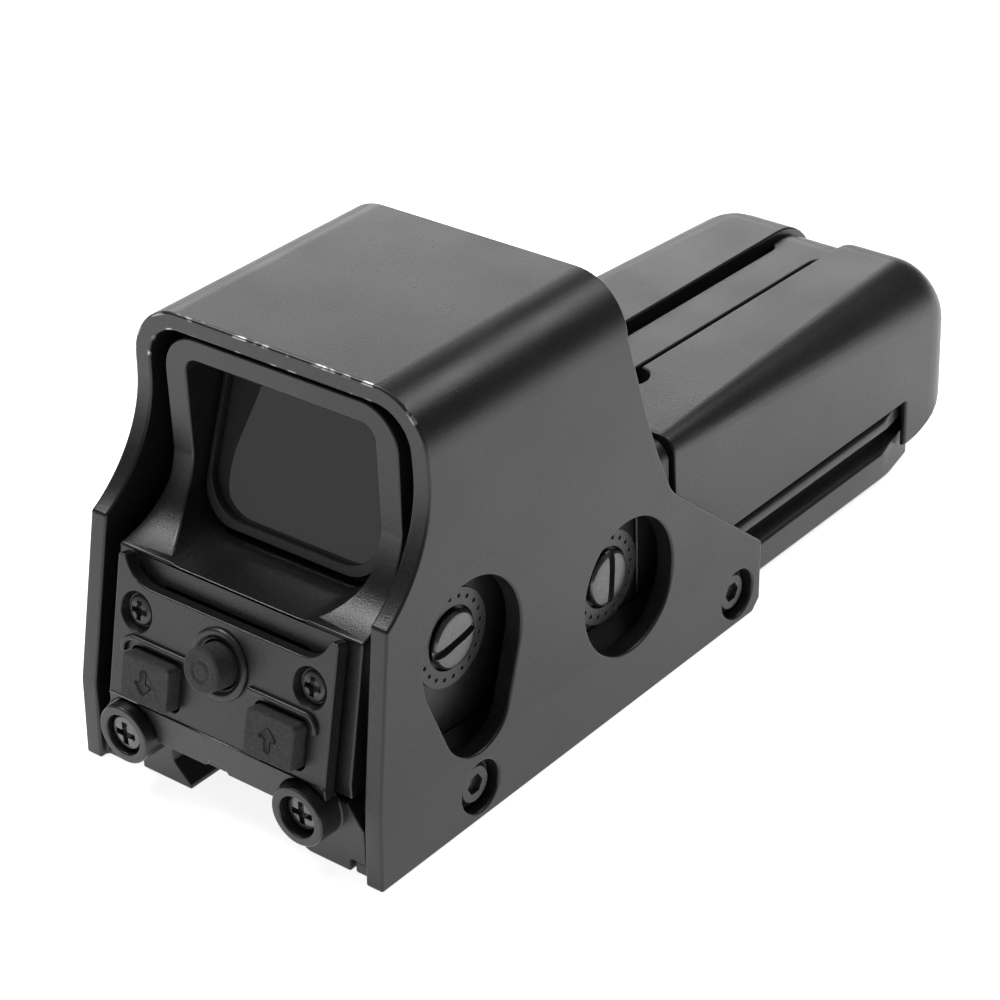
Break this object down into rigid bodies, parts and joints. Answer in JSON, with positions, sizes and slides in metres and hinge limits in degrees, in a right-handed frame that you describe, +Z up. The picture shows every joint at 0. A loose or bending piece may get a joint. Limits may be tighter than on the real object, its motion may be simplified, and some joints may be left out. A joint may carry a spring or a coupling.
{
  "type": "reflex sight",
  "caption": "Rail-mounted reflex sight: hooded optical housing, button panel, side adjusters, side clamp, and a sliding battery cap held by a hinged latch lever.",
  "frame": {"origin": "middle of the rail seat, the flat roof of the rail channel", "axes": "+Y away from the user's eye along the rail, +Z up, +X to the user's right, where the adjusters are"},
  "size_m": [0.054, 0.142, 0.0605],
  "materials": {
    "hood_finish": "satin black anodised aluminium, very fine grain",
    "anodised": "satin black anodised aluminium with bright machined edges",
    "cap_finish": "satin black, very fine grain",
    "moulded": "matt black moulded plastic",
    "rubber": "matt black silicone rubber, a little dusty",
    "black_steel": "glossy black oxide steel",
    "bare_steel": "bare spring steel",
    "brass": "plated brass",
    "coated_glass": "polished glass with a dark reflective coating",
    "circuit_board": "green solder mask",
    "cell_wrap": "glossy plain cell wrap"
  },
  "bodies": {
    "sight_body": {"mount_base": "anodised", "clamp_stud": "black_steel", "hood": "hood_finish", "optical_housing": "anodised", "rear_window_bezel": "moulded", "rear_window": "coated_glass", "front_window": "coated_glass", "front_window_bezel": "moulded", "button_panel": "anodised", "keypad_membrane": "rubber", "circuit_board": "circuit_board", "switch_dome_down": "bare_steel", "switch_dome_up": "bare_steel", "switch_dome_mode": "bare_steel", "panel_screw_left": "black_steel", "panel_screw_right": "black_steel", "hood_screw_near_left": "black_steel", "hood_screw_far_left": "black_steel", "base_screw_left": "black_steel", "hood_screw_near_right": "black_steel", "hood_screw_far_right": "black_steel", "base_screw_right": "black_steel", "elevation_click_plate": "black_steel", "windage_click_plate": "black_steel", "battery_carrier": "moulded", "cap_seal": "rubber", "battery_left": "cell_wrap", "battery_right": "cell_wrap", "contact_left": "brass", "contact_right": "brass"},
    "down_button": {"button_down": "rubber"},
    "up_button": {"button_up": "rubber"},
    "mode_button": {"button_mode": "rubber"},
    "elevation_adjuster": {"elevation_screw": "black_steel"},
    "windage_adjuster": {"windage_screw": "black_steel"},
    "elevation_slide": {"elevation_carriage": "moulded", "collimator_lens": "coated_glass"},
    "windage_slide": {"windage_carriage": "moulded", "led_emitter": "brass"},
    "cap": {"battery_cap": "cap_finish", "cap_contact": "brass", "lever_pin": "black_steel"},
    "lever": {"latch_lever": "cap_finish"},
    "jaw": {"movable_jaw": "anodised"},
    "nut": {"clamp_nut": "black_steel"}
  },
  "joints": [
    {"name": "down_press", "type": "slide", "parent": "sight_body", "child": "down_button", "axis": [0, 0.9759, -0.2182], "range_m": [0, 0.0007], "stiffness_N_per_m": 900, "springref_m": -0.0003},
    {"name": "up_press", "type": "slide", "parent": "sight_body", "child": "up_button", "axis": [0, 0.9759, -0.2182], "range_m": [0, 0.0007], "stiffness_N_per_m": 900, "springref_m": -0.0003},
    {"name": "mode_press", "type": "slide", "parent": "sight_body", "child": "mode_button", "axis": [0, 0.9759, -0.2182], "range_m": [0, 0.0007], "stiffness_N_per_m": 900, "springref_m": -0.0003},
    {"name": "elevation_turn", "type": "hinge", "parent": "sight_body", "child": "elevation_adjuster", "pos_m": [0.0215, -0.0424, 0.0182], "axis": [1, 0, 0], "range_deg": [-540, 540]},
    {"name": "windage_turn", "type": "hinge", "parent": "sight_body", "child": "windage_adjuster", "pos_m": [0.0215, -0.0115, 0.0114], "axis": [1, 0, 0], "range_deg": [-540, 540]},
    {"name": "elevation_shift", "type": "slide", "parent": "sight_body", "child": "elevation_slide", "axis": [0, 0, 1], "range_m": [-0.00075, 0.00075]},
    {"name": "windage_shift", "type": "slide", "parent": "sight_body", "child": "windage_slide", "axis": [1, 0, 0], "range_m": [-0.00075, 0.00075]},
    {"name": "cap_slide", "type": "slide", "parent": "sight_body", "child": "cap", "axis": [0, 1, 0], "range_m": [0, 0.07]},
    {"name": "lever_lift", "type": "hinge", "parent": "cap", "child": "lever", "pos_m": [0, 0.07, 0.0171], "axis": [-1, 0, 0], "range_deg": [0, 95]},
    {"name": "jaw_open", "type": "slide", "parent": "sight_body", "child": "jaw", "axis": [-1, 0, 0], "range_m": [0, 0.0028]},
    {"name": "nut_turn", "type": "hinge", "parent": "jaw", "child": "nut", "pos_m": [-0.024, 0.036, -0.0003], "axis": [-1, 0, 0], "range_deg": [0, 1260]}
  ],
  "couplings": [
    {"joint": "elevation_turn", "follows": "elevation_shift", "rad_per_m": 12566},
    {"joint": "windage_turn", "follows": "windage_shift", "rad_per_m": 12566},
    {"joint": "nut_turn", "follows": "jaw_open", "rad_per_m": 7854}
  ]
}
